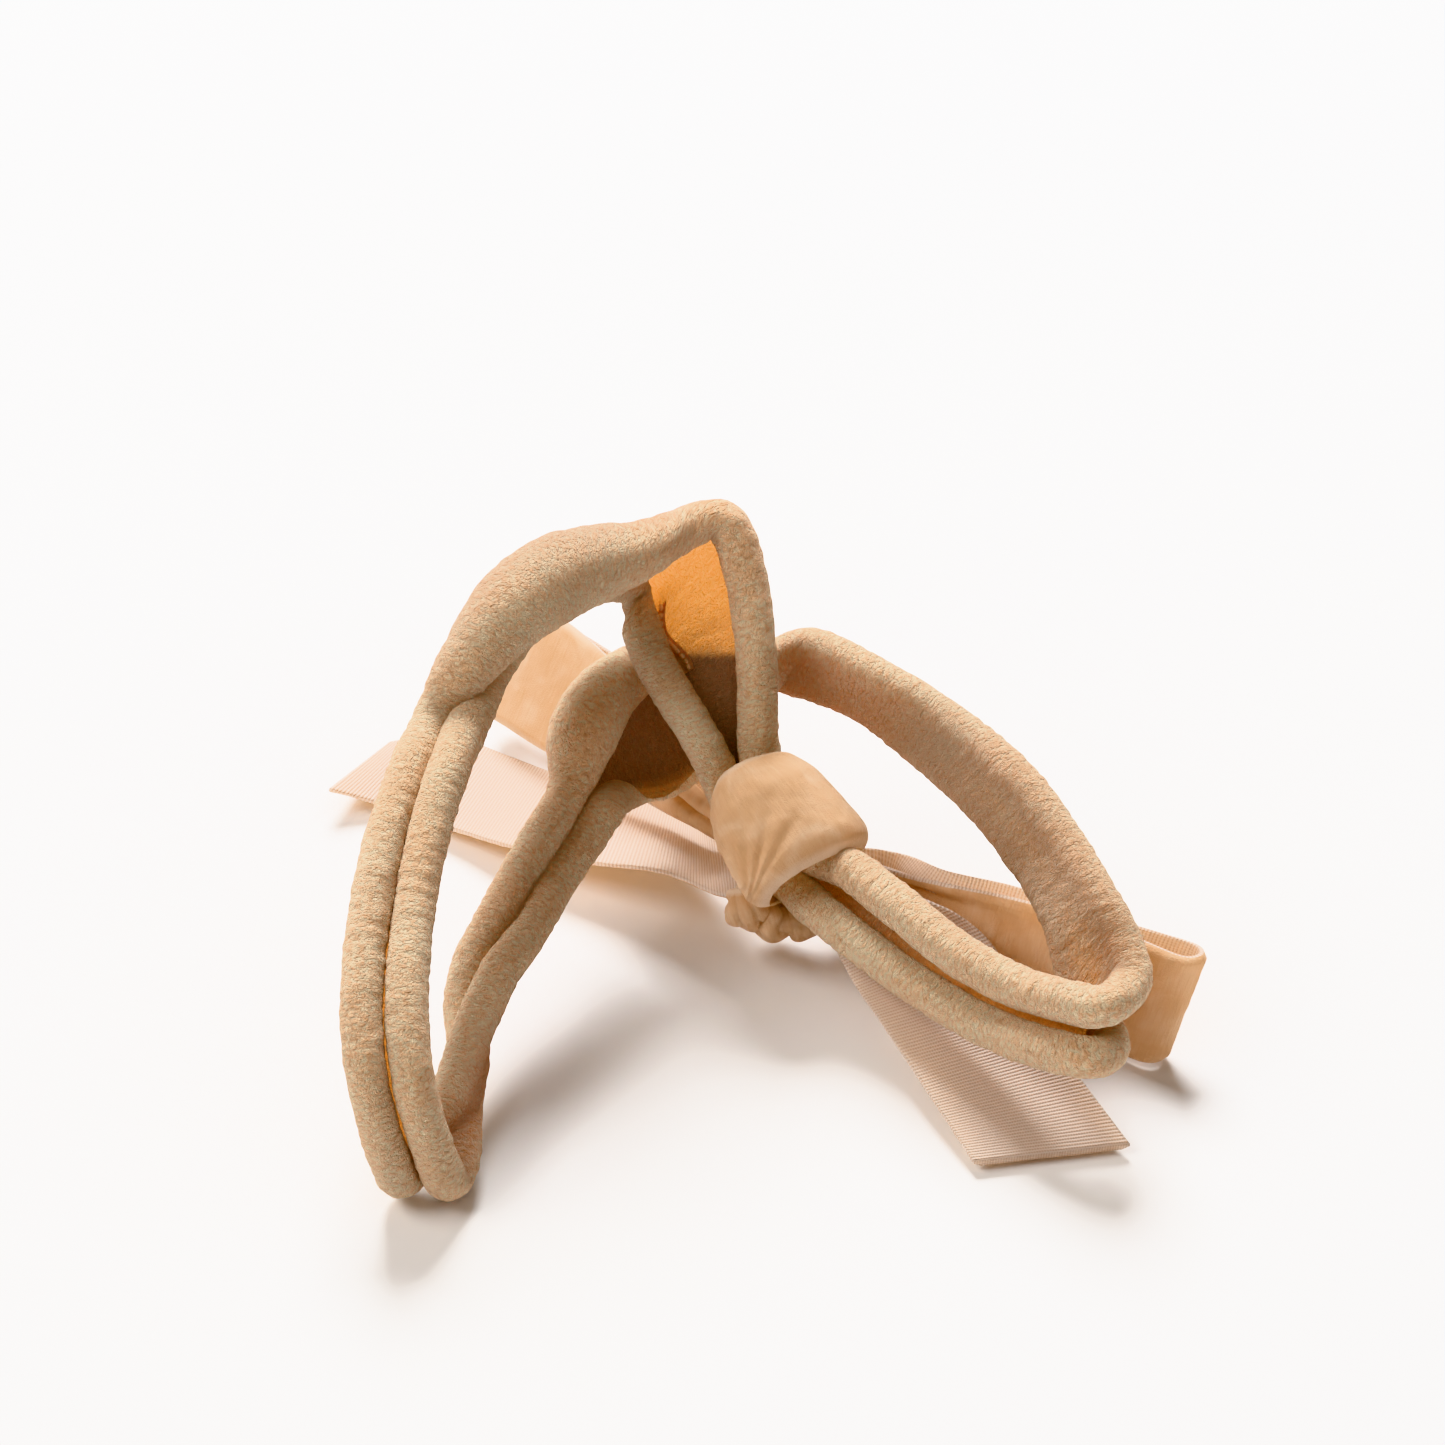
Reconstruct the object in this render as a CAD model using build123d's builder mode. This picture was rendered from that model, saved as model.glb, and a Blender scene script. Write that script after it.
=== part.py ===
"""Infant's stretch headband: a curled-edge nylon strip sewn into a loop, with a hand-tied velvet ribbon bow.

It lies crumpled on a table: the strip makes a ring on the right, a taller ring on the left, and opens
out flat where it rises from the bow's knot. Millimetres, +Z up, origin under the middle of its box.
"""
from build123d import *
import os

# Driving dimensions
ROLL_DIA = 3.2          # each curled edge of the strip
RIBBON_THICK = 0.8      # velvet, pile and backing together
KNOT_HALF_WIDE = 5.6    # the wrap round the strip, across the bow
KNOT_HALF_TALL = 4.3
KNOT_LONG = 8.6         # along the strip, a little under the ribbon's width
STITCH_DIA = 0.6        # the sewn join's thread line
STITCH_LONG = 6
LOOP_TIP = 5            # the station at each loop's far end
BACK_HALF_WIDE = 3.5    # the bunch under the knot
BACK_HALF_DEEP = 2.8
BACK_STEPS = [          # its height, centre and relative size
    (0, 0.8, 0, 0.8),
    (2.2, 1.1, 0.2, 1),
    (4.4, 1.8, 0.8, 0.95),
    (6.4, 2.4, 2, 0.6),
]

# The strip's two curled edges, station by station round the loop: (edge A, edge B).
# It leaves the knot, runs right, folds back on itself and arches over to the left.
RIGHT_RUN = [
    ((6.5, -3, 10), (4, -3.9, 7)),
    ((9.5, -6.5, 10), (7.2, -7.3, 6.6)),
    ((13.5, -11, 9.5), (11.7, -11.8, 6.2)),
    ((18, -15, 9.5), (16.6, -16.1, 6.2)),
    ((22, -18, 10.5), (20.6, -19.4, 7.2)),
    ((24.5, -19, 11), (23.3, -20.6, 7.6)),
]
RIGHT_ARCH = [
    ((26.5, -16.5, 11), (25, -19, 7)),
    ((26, -13.5, 12), (23.5, -15, 8)),
    ((24.5, -10.5, 13.5), (22, -10, 11)),
    ((22, -5.5, 15), (20, -5, 12)),
    ((18.5, 0, 16.5), (16.5, 0.5, 13.5)),
    ((13.5, 6, 17), (12, 6.5, 14)),
    ((8, 9.5, 18.5), (7.5, 10, 15.5)),
    ((3, 12.5, 18.5), (2.5, 13, 15.5)),
]
# Behind the flat stretch it turns over, comes down to the table and doubles back.
LEFT_RUN = [
    ((-0.9, 11.8, 15.1), (-1.4, 14.5, 15.6)),
    ((-3.5, 8.7, 12.5), (-4.6, 14.5, 16)),
    ((-6.7, 7.1, 10.1), (-8.2, 13.5, 16.4)),
    ((-9.3, 6.4, 9.7), (-11.5, 10.4, 16.3)),
    ((-11.2, 4.7, 10.4), (-13.6, 6.4, 14.9)),
    ((-12, 2.5, 11), (-14.5, 3, 12.7)),
    ((-13.5, 0, 10), (-16, 0, 11.5)),
    ((-15.5, -3.5, 9), (-18, -3.5, 10)),
    ((-17.5, -8, 8), (-20, -7.5, 8.5)),
    ((-19.5, -12, 7.5), (-21.5, -10.5, 7)),
    ((-21, -16, 6.5), (-22, -13.5, 5.5)),
    ((-22, -19.5, 5.5), (-21.5, -17.5, 4.2)),
    ((-23, -23, 4.5), (-22, -21.5, 3.2)),
    ((-25, -25.3, 3.1), (-22, -25.3, 2.3)),
]
LEFT_ARCH = [
    ((-26, -27.3, 1.9), (-22.7, -27.6, 1.9)),
    ((-26.8, -27.9, 4.7), (-23.5, -27.9, 4.7)),
    ((-28.2, -26, 10.5), (-25, -26, 10.5)),
    ((-28.7, -21.5, 14), (-25.5, -21.5, 14)),
    ((-28.2, -15, 17), (-25.1, -15, 17)),
    ((-27.2, -9.5, 19.5), (-24.1, -9.3, 19.7)),
    ((-25.6, -4, 21), (-22.7, -4.4, 21.7)),
    ((-24, 0.4, 21.8), (-21.3, 0.7, 22.2)),
]
# Over the top it folds sharply down to the knot, and its edges spread so that the web lies flat.
CROWN = [
    ((-21.7, 2.6, 25.2), (-20.1, 5.5, 22.4)),
    ((-18.8, 5.8, 27.4), (-17.9, 9.1, 23.6)),
    ((-15.5, 8.9, 28.1), (-15.2, 12.2, 24.2)),
    ((-12.1, 10.9, 28.1), (-12.1, 13.9, 23.9)),
    ((-9, 12.6, 27.9), (-10, 14.1, 23.5)),
    ((-6.4, 14.7, 27.9), (-9.3, 13.6, 22.3)),
]
FLAT_STRETCH = [
    ((-3, 15.8, 28.3), (-9.1, 11.5, 21.5)),
    ((-1.3, 13.5, 25), (-8.2, 9.5, 20)),
    ((-0.5, 9.5, 20.5), (-6.6, 7.5, 18)),
    ((-0.4, 7, 16.5), (-4.6, 5.5, 15.5)),
    ((-0.2, 5.4, 14), (-3.2, 4.4, 12.8)),
]
IN_KNOT = [
    ((1.2, 3.2, 11.7), (-1.6, 2, 10.4)),
    ((3, 0, 9.5), (1, -0.5, 8)),
]
STRETCHES = {
    "band_in_knot": IN_KNOT,
    "band_right_run": RIGHT_RUN,
    "band_right_arch": RIGHT_ARCH,
    "band_left_run": LEFT_RUN,
    "band_left_arch": LEFT_ARCH,
    "band_crown": CROWN,
    "band_flat_stretch": FLAT_STRETCH,
}
STRIP = [station for stretch in STRETCHES.values() for station in stretch]

# Ribbon pieces: (one selvedge, other selvedge) from the knot outwards.
RIGHT_TAIL = [
    ((5, -1.6, 3.8), (9.9, -2.4, 8.1)),
    ((5.2, -4, 3.9), (11.2, -4.3, 8.5)),
    ((5.9, -6.2, 3.7), (14, -4.9, 7.6)),
    ((7, -8.8, 3.3), (16.6, -6, 6)),
    ((8.6, -11.9, 3), (18.6, -9.2, 4.6)),
    ((12.2, -19, 2), (22.2, -15.4, 2.4)),
    ((15.2, -24.7, 0.9), (26.6, -22.8, 0.8)),
]
LEFT_TAIL = [
    ((-2.8, -1.4, 5.9), (-3.4, 7.2, 4.1)),
    ((-7.7, 2.6, 4.8), (-6.8, 11.4, 3.3)),
    ((-13.1, 4.8, 3.7), (-10.8, 14.2, 2.5)),
    ((-19.2, 7.9, 2.6), (-15.8, 17.2, 1.8)),
    ((-23.7, 11, 1.6), (-20, 20.4, 1.1)),
    ((-29.6, 14.5, 1.2), (-25.3, 23.5, 0.7)),
    ((-33.7, 14.9, 2.4), (-29.4, 22.5, 0.7)),
]
# A loop goes out, turns round its end and comes back behind itself: (lower selvedge, upper selvedge).
LEFT_LOOP = [
    ((-3.6, 5.7, 5.6), (-3.9, 7.5, 7.9)),
    ((-7.5, 9.4, 4.9), (-7, 12.2, 8.3)),
    ((-11.5, 13.4, 4.4), (-10, 17.7, 10.6)),
    ((-17, 18.2, 3.6), (-13.5, 23, 11)),
    ((-20.2, 22.2, 2.8), (-16.6, 27.3, 10.3)),
    ((-21.4, 24, 2.2), (-17.9, 28.8, 9.6)),
    ((-20.9, 25.1, 1.8), (-17.4, 29.4, 8.9)),
    ((-19.9, 25.2, 1.5), (-16.4, 29.4, 8.3)),
    ((-18.4, 24, 1.7), (-14.8, 28, 7.9)),
    ((-14.8, 20.6, 2.6), (-11.5, 24.4, 8.2)),
    ((-9.5, 15.6, 3.8), (-7.8, 18.9, 8.6)),
    ((-6, 11.9, 4.6), (-5.2, 13.9, 8.4)),
    ((-3, 8.8, 5.4), (-3.2, 9.6, 8)),
]
RIGHT_LOOP = [
    ((9.6, 0.6, 1.5), (9.9, 0.4, 6.6)),
    ((12.8, -3.2, 0.8), (13.9, -2.6, 8)),
    ((17.2, -6.2, 0.6), (18.9, -4.6, 8.4)),
    ((23.4, -10.6, 0.6), (25.8, -7.6, 8.3)),
    ((26.8, -13, 0.5), (29.4, -9.9, 8.3)),
    ((28.4, -14, 0.6), (31.2, -10.8, 8.2)),
    ((29.6, -13.6, 0.6), (32.4, -10.3, 8.1)),
    ((29.6, -12.4, 0.6), (32.4, -9.4, 8)),
    ((27.6, -11.2, 0.7), (30.2, -8.2, 8)),
    ((23.6, -9, 0.7), (25.9, -6.2, 8)),
    ((17.4, -4.8, 0.6), (18.9, -2.9, 8.2)),
    ((13, -1.3, 0.8), (13.8, -0.9, 8)),
    ((10.4, 3, 1.8), (10.6, 2.6, 6.6)),
]


def middle(station):
    return (Vector(*station[0]) + Vector(*station[1])) / 2


def section_plane(before, station, after):
    """The plane square to the route at a station, with X from one edge to the other."""
    along = (middle(after) - middle(before)).normalized()
    across = Vector(*station[1]) - Vector(*station[0])
    across = across - along * across.dot(along)
    return Plane(origin=middle(station), x_dir=across.normalized(), z_dir=along)


def spread(station):
    """Distance between a station's two edges."""
    return (Vector(*station[1]) - Vector(*station[0])).length


def strip_stretch(name, first, count):
    """One stretch of the closed strip, from its first station to the next stretch's first."""
    with BuildPart() as stretch:
        for i in range(first, first + count + 1):
            before, station, after = (STRIP[(i + k) % len(STRIP)] for k in (-1, 0, 1))
            with BuildSketch(section_plane(before, station, after)):
                SlotOverall(spread(station) + ROLL_DIA, ROLL_DIA)
        loft(ruled=True)
    save(stretch.part, name)
    return stretch.part


def ribbon_piece(name, stations, tip=None):
    """A length of ribbon through its stations, as a thin slab; a loop is made in two, up to its tip and back."""
    last = len(stations) - 1
    stretches = [(0, tip), (tip, last)] if tip else [(0, last)]
    with BuildPart() as ribbon:
        for first, final in stretches:
            for i in range(first, final + 1):
                before, after = stations[max(i - 1, 0)], stations[min(i + 1, last)]
                with BuildSketch(section_plane(before, stations[i], after)):
                    Rectangle(spread(stations[i]), RIBBON_THICK)
            loft(ruled=True)
    save(ribbon.part, name)


def save(part, name):
    part.label = name
    export_step(part, f"parts/{name}.step")


def strip_parts():
    made, first = {}, 0
    for name, stretch in STRETCHES.items():
        made[name] = strip_stretch(name, first, len(stretch))
        first += len(stretch)
    return made


def knot_wrap(strip):
    """One turn of ribbon pulled tight round the strip, which runs through it."""
    start, end = middle(FLAT_STRETCH[-1]), middle(RIGHT_RUN[0])
    along = (end - start).normalized()
    centre = (start + end) / 2 + Vector(1.2, 0.6, -0.6)
    across = Vector(1, 0.35, 0)
    across = (across - along * across.dot(along)).normalized()
    with BuildPart() as knot:
        for offset, scale in ((-0.5, 0.74), (-0.2, 1.0), (0.2, 1.0), (0.5, 0.72)):
            place = Plane(origin=centre + along * offset * KNOT_LONG, x_dir=across, z_dir=along)
            with BuildSketch(place):
                Ellipse(KNOT_HALF_WIDE * scale, KNOT_HALF_TALL * scale)
        loft()
        for name in ("band_in_knot", "band_flat_stretch", "band_right_run"):
            add(strip[name], mode=Mode.SUBTRACT)
    save(knot.part, "bow_knot")
    return knot.part


def gathered_back(knot):
    """The ribbon bunched under the knot, on which the bow rests."""
    with BuildPart() as back:
        for z, x, y, scale in BACK_STEPS:
            with BuildSketch(Plane.XY.offset(z)):
                with Locations((x, y)):
                    Ellipse(BACK_HALF_WIDE * scale, BACK_HALF_DEEP * scale)
        loft()
        add(knot, mode=Mode.SUBTRACT)
    save(back.part, "bow_back")


def join_stitching(stretch):
    """The line of thread that joins the strip's two ends, across the outer face of the flat stretch."""
    seam = section_plane(*FLAT_STRETCH[:3])
    start = seam.origin + seam.y_dir * ROLL_DIA / 2 - seam.x_dir * STITCH_LONG / 2
    with BuildPart() as thread:
        with BuildSketch(Plane(origin=start, z_dir=seam.x_dir)):
            Circle(STITCH_DIA / 2)
        extrude(amount=STITCH_LONG)
        add(stretch, mode=Mode.SUBTRACT)
    save(thread.part, "join_stitching")


os.makedirs("parts", exist_ok=True)
strip = strip_parts()
gathered_back(knot_wrap(strip))
join_stitching(strip["band_flat_stretch"])
ribbon_piece("bow_left_loop", LEFT_LOOP, tip=LOOP_TIP)
ribbon_piece("bow_right_loop", RIGHT_LOOP, tip=LOOP_TIP)
ribbon_piece("bow_left_tail", LEFT_TAIL)
ribbon_piece("bow_right_tail", RIGHT_TAIL)
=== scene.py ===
import math

import bpy
import numpy as np
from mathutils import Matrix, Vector, noise


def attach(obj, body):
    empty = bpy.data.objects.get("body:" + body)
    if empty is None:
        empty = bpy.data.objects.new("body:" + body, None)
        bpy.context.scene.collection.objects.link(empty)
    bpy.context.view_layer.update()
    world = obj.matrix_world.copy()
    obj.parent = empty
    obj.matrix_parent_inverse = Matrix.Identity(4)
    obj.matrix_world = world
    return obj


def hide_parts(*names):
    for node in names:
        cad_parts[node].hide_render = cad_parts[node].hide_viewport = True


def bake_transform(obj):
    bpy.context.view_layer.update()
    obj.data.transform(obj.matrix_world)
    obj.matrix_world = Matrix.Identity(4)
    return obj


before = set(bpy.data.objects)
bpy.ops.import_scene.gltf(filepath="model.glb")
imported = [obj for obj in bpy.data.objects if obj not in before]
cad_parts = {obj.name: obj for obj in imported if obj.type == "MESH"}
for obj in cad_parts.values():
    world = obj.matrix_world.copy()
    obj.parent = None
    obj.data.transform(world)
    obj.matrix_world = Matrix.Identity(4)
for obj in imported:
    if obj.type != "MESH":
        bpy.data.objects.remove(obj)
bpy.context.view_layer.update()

# An infant's stretch headband, crumpled on a table: a nylon strip with curled edges, and a velvet bow.
MM = 0.001

# ---------------------------------------------------------------- the strip's route, in millimetres
# The stations are the CAD part's. They were fitted to one view, so their depth is a guess. Each is (edge A,
# edge B), optionally with (radius of roll A, of roll B, turns of A, of B, how see-through and lit it is
# painted).
# A low last value lets less light through and paints the strip darker, in painted shade; ARCHED and the crown's
# rows are painted so too.
ROLL = (1.6, 1.6, 1.35, 1.35, 1)
ARCHED = (1.6, 1.6, 1.35, 1.35, 0.45)
RIGHT_RUN = [
    ((6.5, -3, 10), (4, -3.9, 7)),
    ((9.5, -6.5, 10), (7.2, -7.3, 6.6)),
    ((13.5, -11, 9.5), (11.7, -11.8, 6.2)),
    ((18, -15, 9.5), (16.6, -16.1, 6.2)),
    ((22, -18, 10.5), (20.6, -19.4, 7.2)),
    ((24.5, -19, 11), (23.3, -20.6, 7.6)),
]
RIGHT_ARCH = [
    ((26.5, -16.5, 11), (25, -19, 7)),
    ((26, -13.5, 12), (23.5, -15, 8)),
    ((24.5, -10.5, 13.5), (22, -10, 11), ARCHED),
    ((22, -5.5, 15), (20, -5, 12), ARCHED),
    ((18.5, 0, 16.5), (16.5, 0.5, 13.5), ARCHED),
    ((13.5, 6, 17), (12, 6.5, 14), ARCHED),
    ((8, 9.5, 18.5), (7.5, 10, 15.5)),
    ((3, 12.5, 18.5), (2.5, 13, 15.5)),
]
# The low last values at the start of this run paint its kink in shade: darker, and letting little light
# through.
LEFT_RUN = [
    ((-0.9, 11.8, 15.1), (-1.4, 14.5, 15.6), (1.6, 1.6, 1, 1.2, 0.4)),
    ((-3.5, 8.7, 12.5), (-4.6, 14.5, 16), (1.3, 1.6, 0.5, 1, 0)),
    ((-6.7, 7.1, 10.1), (-8.2, 13.5, 16.4), (1.2, 1.8, 0.4, 0.9, 0)),
    ((-9.3, 6.4, 9.7), (-11.5, 10.4, 16.3), (1.2, 2.4, 0.4, 0.8, 0)),
    ((-11.2, 4.7, 10.4), (-13.6, 6.4, 14.9), (1.5, 2.7, 0.8, 0.75, 0.1)),
    ((-12, 2.5, 11), (-14.5, 3, 12.7)),
    ((-13.5, 0, 10), (-16, 0, 11.5)),
    ((-15.5, -3.5, 9), (-18, -3.5, 10)),
    ((-17.5, -8, 8), (-20, -7.5, 8.5)),
    ((-19.5, -12, 7.5), (-21.5, -10.5, 7)),
    ((-21, -16, 6.5), (-22, -13.5, 5.5)),
    ((-22, -19.5, 5.5), (-21.5, -17.5, 4.2)),
    ((-23, -23, 4.5), (-22, -21.5, 3.2)),
    ((-25, -25.3, 3.1), (-22, -25.3, 2.3)),
]
LEFT_ARCH = [
    ((-26, -27.3, 1.9), (-22.7, -27.6, 1.9)),
    ((-26.8, -27.9, 4.7), (-23.5, -27.9, 4.7)),
    ((-28.2, -26, 10.5), (-25, -26, 10.5)),
    ((-28.7, -21.5, 14), (-25.5, -21.5, 14)),
    ((-28.2, -15, 17), (-25.1, -15, 17)),
    ((-27.2, -9.5, 19.5), (-24.1, -9.3, 19.7)),
    ((-25.6, -4, 21), (-22.7, -4.4, 21.7), (1.7, 1.6, 1.35, 1.35, 1)),
    ((-24, 0.4, 21.8), (-21.3, 0.7, 22.2), (1.8, 1.6, 1.35, 1.35, 1)),
]
CROWN = [
    ((-21.7, 2.6, 25.2), (-20.1, 5.5, 22.4), (2.3, 1.6, 1.35, 1.35, 0.3)),
    ((-18.8, 5.8, 27.4), (-17.9, 9.1, 23.6), (3, 1.6, 1.35, 1.35, 0.2)),
    ((-15.5, 8.9, 28.1), (-15.2, 12.2, 24.2), (3.2, 1.6, 1.35, 1.35, 0.2)),
    ((-12.1, 10.9, 28.1), (-12.1, 13.9, 23.9), (2.8, 1.6, 1.35, 1.35, 0.2)),
    ((-9, 12.6, 27.9), (-10, 14.1, 23.5), (2.2, 1.6, 1.35, 1.35, 0.5)),
    ((-6.4, 14.7, 27.9), (-9.3, 13.6, 22.3), (1.7, 1.6, 1.35, 1.35, 1)),
]
FLAT_STRETCH = [
    ((-3, 15.8, 28.3), (-9.1, 11.5, 21.5)),
    ((-1.3, 13.5, 25), (-8.2, 9.5, 20)),
    ((-0.5, 9.5, 20.5), (-6.6, 7.5, 18), (1.6, 1.6, 1.35, 1.35, 0)),
    ((-0.4, 7, 16.5), (-4.6, 5.5, 15.5), (1.6, 1.6, 1.35, 1.35, 0)),
    ((-0.2, 5.4, 14), (-3.2, 4.4, 12.8), (1.6, 1.6, 1.35, 1.35, 0)),
]
IN_KNOT = [
    ((1.2, 3.2, 11.7), (-1.6, 2, 10.4)),
    ((3, 0, 9.5), (1, -0.5, 8)),
]
STRIP = IN_KNOT + RIGHT_RUN + RIGHT_ARCH + LEFT_RUN + LEFT_ARCH + CROWN + FLAT_STRETCH

# ---------------------------------------------------------------- the bow's ribbons, in millimetres
# Each station is (lower or left edge, upper or right edge).
RIGHT_TAIL = [
    ((5, -1.6, 3.8), (9.9, -2.4, 8.1)),
    ((5.2, -4, 3.9), (11.2, -4.3, 8.5)),
    ((5.9, -6.2, 3.7), (14, -4.9, 7.6)),
    ((7, -8.8, 3.3), (16.6, -6, 6)),
    ((8.6, -11.9, 3), (18.6, -9.2, 4.6)),
    ((12.2, -19, 2), (22.2, -15.4, 2.4)),
    ((15.2, -24.7, 0.9), (26.6, -22.8, 0.8)),
]
LEFT_TAIL = [
    ((-2.8, -1.4, 5.9), (-3.4, 7.2, 4.1)),
    ((-7.7, 2.6, 4.8), (-6.8, 11.4, 3.3)),
    ((-13.1, 4.8, 3.7), (-10.8, 14.2, 2.5)),
    ((-19.2, 7.9, 2.6), (-15.8, 17.2, 1.8)),
    ((-23.7, 11, 1.6), (-20, 20.4, 1.1)),
    ((-29.6, 14.5, 1.2), (-25.3, 23.5, 0.7)),
    ((-33.7, 14.9, 2.4), (-29.4, 22.5, 0.7)),
]
LEFT_LOOP = [
    ((-3.6, 5.7, 5.6), (-3.9, 7.5, 7.9)),
    ((-7.5, 9.4, 4.9), (-7, 12.2, 8.3)),
    ((-11.5, 13.4, 4.4), (-10, 17.7, 10.6)),
    ((-17, 18.2, 3.6), (-13.5, 23, 11)),
    ((-20.2, 22.2, 2.8), (-16.6, 27.3, 10.3)),
    ((-21.4, 24, 2.2), (-17.9, 28.8, 9.6)),
    ((-20.9, 25.1, 1.8), (-17.4, 29.4, 8.9)),
    ((-19.9, 25.2, 1.5), (-16.4, 29.4, 8.3)),
    ((-18.4, 24, 1.7), (-14.8, 28, 7.9)),
    ((-14.8, 20.6, 2.6), (-11.5, 24.4, 8.2)),
    ((-9.5, 15.6, 3.8), (-7.8, 18.9, 8.6)),
    ((-6, 11.9, 4.6), (-5.2, 13.9, 8.4)),
    ((-3, 8.8, 5.4), (-3.2, 9.6, 8)),
]
RIGHT_LOOP = [
    ((9.6, 0.6, 1.5), (9.9, 0.4, 6.6)),
    ((12.8, -3.2, 0.8), (13.9, -2.6, 8)),
    ((17.2, -6.2, 0.6), (18.9, -4.6, 8.4)),
    ((23.4, -10.6, 0.6), (25.8, -7.6, 8.3)),
    ((26.8, -13, 0.5), (29.4, -9.9, 8.3)),
    ((28.4, -14, 0.6), (31.2, -10.8, 8.2)),
    ((29.6, -13.6, 0.6), (32.4, -10.3, 8.1)),
    ((29.6, -12.4, 0.6), (32.4, -9.4, 8)),
    ((27.6, -11.2, 0.7), (30.2, -8.2, 8)),
    ((23.6, -9, 0.7), (25.9, -6.2, 8)),
    ((17.4, -4.8, 0.6), (18.9, -2.9, 8.2)),
    ((13, -1.3, 0.8), (13.8, -0.9, 8)),
    ((10.4, 3, 1.8), (10.6, 2.6, 6.6)),
]


# ---------------------------------------------------------------- curve and mesh helpers
def unit(v):
    return v / np.maximum(np.linalg.norm(v, axis=-1, keepdims=True), 1e-12)


def gauss(rows, sigma, closed):
    """Rows smoothed along their order, sigma in rows."""
    half = int(3 * sigma) + 1
    weights = np.exp(-0.5 * (np.arange(-half, half + 1) / sigma) ** 2)
    weights /= weights.sum()
    if closed:
        padded = np.concatenate([rows[-half:], rows, rows[:half]])
    else:
        head = 2 * rows[:1] - rows[half:0:-1]
        tail = 2 * rows[-1:] - rows[-2:-half - 2:-1]
        padded = np.concatenate([head, rows, tail])
    return np.stack([np.convolve(padded[:, k], weights, "valid") for k in range(rows.shape[1])], axis=1)


def route(table, step, closed=False, soften=0.0):
    """A table's rows (edge A, edge B, extras) on a smooth curve, evenly spaced by step (mm)."""
    table = np.array(table, float)
    count = len(table)
    if closed:
        ext = np.concatenate([table[-1:], table, table[:2]])
        spans = count
    else:
        ext = np.concatenate([2 * table[:1] - table[1:2], table, 2 * table[-1:] - table[-2:-1]])
        spans = count - 1
    out = []
    for i in range(spans):
        p0, p1, p2, p3 = ext[i:i + 4]
        t0 = 0.0
        t1 = t0 + np.linalg.norm((p1 - p0)[:6]) ** 0.5
        t2 = t1 + np.linalg.norm((p2 - p1)[:6]) ** 0.5
        t3 = t2 + np.linalg.norm((p3 - p2)[:6]) ** 0.5
        for t in np.linspace(t1, t2, 24, endpoint=False):
            a1 = (t1 - t) / (t1 - t0) * p0 + (t - t0) / (t1 - t0) * p1
            a2 = (t2 - t) / (t2 - t1) * p1 + (t - t1) / (t2 - t1) * p2
            a3 = (t3 - t) / (t3 - t2) * p2 + (t - t2) / (t3 - t2) * p3
            b1 = (t2 - t) / (t2 - t0) * a1 + (t - t0) / (t2 - t0) * a2
            b2 = (t3 - t) / (t3 - t1) * a2 + (t - t1) / (t3 - t1) * a3
            out.append((t2 - t) / (t2 - t1) * b1 + (t - t1) / (t2 - t1) * b2)
    out.append(ext[1] if closed else ext[-2])
    out = np.array(out)
    middle = (out[:, :3] + out[:, 3:6]) / 2
    reach = np.concatenate([[0], np.cumsum(np.linalg.norm(np.diff(middle, axis=0), axis=1))])
    n = max(2, int(round(reach[-1] / step)))
    at = np.linspace(0, reach[-1], n + 1)
    rows = np.stack([np.interp(at, reach, out[:, k]) for k in range(out.shape[1])], axis=1)
    if soften:
        if closed:
            rows = gauss(rows[:-1], soften / step, True)
            rows = np.concatenate([rows, rows[:1]])
        else:
            rows = gauss(rows, soften / step, False)
    return rows, at


def slope(rows, closed):
    """Unit direction of travel at each row."""
    if closed:
        ring = rows[:-1]
        d = np.roll(ring, -1, axis=0) - np.roll(ring, 1, axis=0)
        d = np.concatenate([d, d[:1]])
    else:
        d = np.gradient(rows, axis=0)
    return unit(d)


def grid_faces(rows, cols, start=0):
    """Quads of a rows x cols grid of vertices, numbered row by row."""
    i = np.arange(rows - 1)[:, None] * cols + np.arange(cols - 1)[None, :] + start
    return np.stack([i, i + 1, i + cols + 1, i + cols], axis=-1).reshape(-1, 4)


def grid_lap(rows, cols):
    """The numbers of a grid's outer vertices, once round it in order."""
    lap = [i * cols for i in range(rows)] + [(rows - 1) * cols + j for j in range(1, cols)]
    return lap + [i * cols + cols - 1 for i in range(rows - 2, -1, -1)] + [j for j in range(cols - 2, 0, -1)]


def grid_normals(points):
    """Unit normals of a grid of points (rows, cols, 3)."""
    return unit(np.cross(np.gradient(points, axis=0), np.gradient(points, axis=1)))


def wobble(points, size, seed):
    """Smooth noise, about -1 to 1, at points in millimetres, with features about size across."""
    flat = (points.reshape(-1, 3) / size + seed * 17.3).tolist()
    return np.array([noise.noise(p) for p in flat]).reshape(points.shape[:-1])


def make_mesh(name, points, faces, materials, which=None, lie=None, opaque_and_shade=None):
    """A mesh object from points in millimetres; lie is each point's place on the flat cloth, in millimetres.

    The last argument is 1 where the cloth is painted in shade, darker, and lets little light through, as if in
    several layers."""
    mesh = bpy.data.meshes.new(name)
    if isinstance(faces, np.ndarray):
        faces = faces.tolist()
    places = (np.asarray(points).reshape(-1, 3) * MM).tolist()
    mesh.from_pydata(places, [], [tuple(face) for face in faces])
    mesh.validate()
    if lie is not None:
        spot = mesh.attributes.new("lie", "FLOAT_VECTOR", "POINT")
        spot.data.foreach_set("vector", np.asarray(lie, float).reshape(-1).tolist())
    if opaque_and_shade is not None:
        spot = mesh.attributes.new("opaque_and_shade", "FLOAT", "POINT")
        spot.data.foreach_set("value", np.asarray(opaque_and_shade, float).reshape(-1).tolist())
    for material in materials:
        mesh.materials.append(material)
    if which is not None:
        mesh.polygons.foreach_set("material_index", np.asarray(which, int).tolist())
    mesh.polygons.foreach_set("use_smooth", [True] * len(mesh.polygons))
    mesh.update()
    piece = bpy.data.objects.new(name, mesh)
    bpy.context.scene.collection.objects.link(piece)
    return piece


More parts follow.
